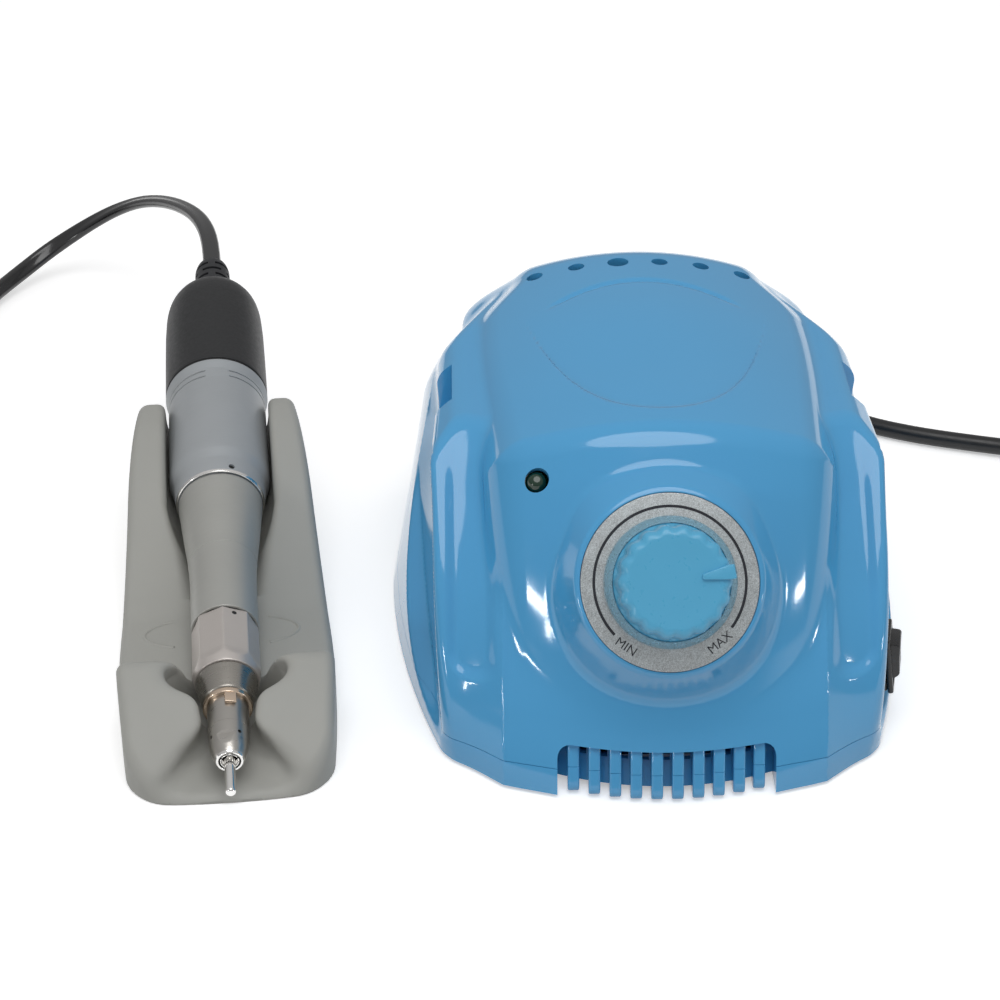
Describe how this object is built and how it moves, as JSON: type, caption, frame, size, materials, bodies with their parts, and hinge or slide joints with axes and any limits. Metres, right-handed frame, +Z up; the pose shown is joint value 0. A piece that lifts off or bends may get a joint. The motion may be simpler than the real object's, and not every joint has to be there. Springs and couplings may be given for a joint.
{
  "type": "hair transplant micromotor",
  "caption": "Mains control box with a speed dial, an electric rotary handpiece in its rest, a lead and a mains cord.",
  "frame": {"origin": "centre of the footprint of the control box and the handpiece rest, on the bench", "axes": "+X to the control box's right, +Y to its rear, +Z up"},
  "size_m": [0.465, 0.2825, 0.074],
  "materials": {
    "blue_shell": "gloss moulded plastic",
    "blue_knob": "clear tinted plastic",
    "black_plastic": "moulded black plastic",
    "black_rubber": "black rubber",
    "silver_plate": "metallic silver, fine grain",
    "steel": "stainless steel",
    "bright_steel": "polished steel",
    "grey_metal": "anodised silver grey",
    "brass": "bare brass",
    "copper": "enamelled copper wire",
    "core_iron": "laminated iron",
    "board_green": "green board",
    "can_dark": "sleeved can",
    "carbon": "carbon",
    "lamp_green": "tinted clear resin",
    "glass_tube": "clear glass",
    "grey_rest": "matte warm grey plastic"
  },
  "bodies": {
    "control_unit": {"upper_housing": "blue_shell", "base_tray": "blue_shell", "rubber_feet": "black_rubber", "base_screws": "steel", "dial_plate": "silver_plate", "potentiometer_body": "grey_metal", "potentiometer_nut": "steel", "power_lamp": "lamp_green", "switch_frame": "black_plastic", "transformer_core": "core_iron", "transformer_winding": "copper", "transformer_strap": "steel", "circuit_board": "board_green", "inner_screws": "steel", "capacitors": "can_dark", "heat_sink": "grey_metal", "drive_transistor": "black_plastic", "handpiece_socket": "black_plastic", "fuse_holder": "black_plastic", "fuse_cap": "black_plastic", "fuse": "glass_tube", "mains_strain_relief": "black_rubber", "handpiece_rest": "grey_rest", "handpiece_lead": "black_rubber", "mains_cord": "black_rubber", "lead_coil": "black_rubber", "mains_coil": "black_rubber", "cord_ties": "black_plastic", "lead_plug": "black_plastic", "lead_plug_pins": "brass", "mains_plug": "black_plastic", "mains_plug_pins": "steel"},
    "knob": {"speed_knob": "blue_knob", "potentiometer_shaft": "steel"},
    "rocker": {"switch_rocker": "black_plastic"},
    "motor": {"motor_housing": "grey_metal", "coupling_nose": "steel", "rear_cap": "black_plastic", "lead_strain_relief": "black_rubber", "field_magnets": "core_iron", "brush_holder": "black_plastic", "carbon_brushes": "carbon", "motor_bearings": "bright_steel", "motor_end_plate": "grey_metal"},
    "rotor": {"rotor_core": "core_iron", "rotor_shaft": "steel", "rotor_windings": "copper", "commutator": "copper", "drive_dog": "steel"},
    "straight_handpiece": {"handpiece_sleeve": "steel", "nose_cone": "steel", "lock_ring": "brass", "nose_barrel": "steel", "spindle_bearings": "bright_steel"},
    "spindle": {"spindle": "steel", "drive_fork": "steel", "collet": "steel"},
    "collar": {"twist_collar": "steel"},
    "tool": {"tool_shank": "bright_steel"}
  },
  "joints": [
    {"name": "speed_knob_turn", "type": "hinge", "parent": "control_unit", "child": "knob", "pos_m": [0.0331, -0.08699, 0.05015], "axis": [0, -0.848, 0.5299], "range_deg": [-46.9, 212.8]},
    {"name": "power_switch_tip", "type": "hinge", "parent": "control_unit", "child": "rocker", "pos_m": [0.08412, -0.06583, 0.01842], "axis": [0.2079, 0.9781, 0], "range_deg": [-24, 0]},
    {"name": "handpiece_lift", "type": "slide", "parent": "control_unit", "child": "straight_handpiece", "axis": [0, 0, 1], "range_m": [0, 0.06], "deforming": ["handpiece_lead"]},
    {"name": "motor_pull", "type": "slide", "parent": "straight_handpiece", "child": "motor", "axis": [-0.0925, 0.9856, 0.1416], "range_m": [0, 0.024]},
    {"name": "motor_spin", "type": "hinge", "parent": "motor", "child": "rotor", "pos_m": [-0.0717, 0.01562, 0.02499], "axis": [-0.0925, 0.9856, 0.1416], "continuous": true},
    {"name": "spindle_spin", "type": "hinge", "parent": "straight_handpiece", "child": "spindle", "pos_m": [-0.06615, -0.04351, 0.0165], "axis": [-0.0925, 0.9856, 0.1416], "continuous": true},
    {"name": "collar_twist", "type": "hinge", "parent": "straight_handpiece", "child": "collar", "pos_m": [-0.06476, -0.0583, 0.01437], "axis": [-0.0925, 0.9856, 0.1416], "range_deg": [0, 40]},
    {"name": "tool_pull", "type": "slide", "parent": "spindle", "child": "tool", "axis": [0.0925, -0.9856, -0.1416], "range_m": [0, 0.03]}
  ],
  "couplings": [
    {"joint": "spindle_spin", "follows": "motor_spin", "ratio": 1}
  ]
}
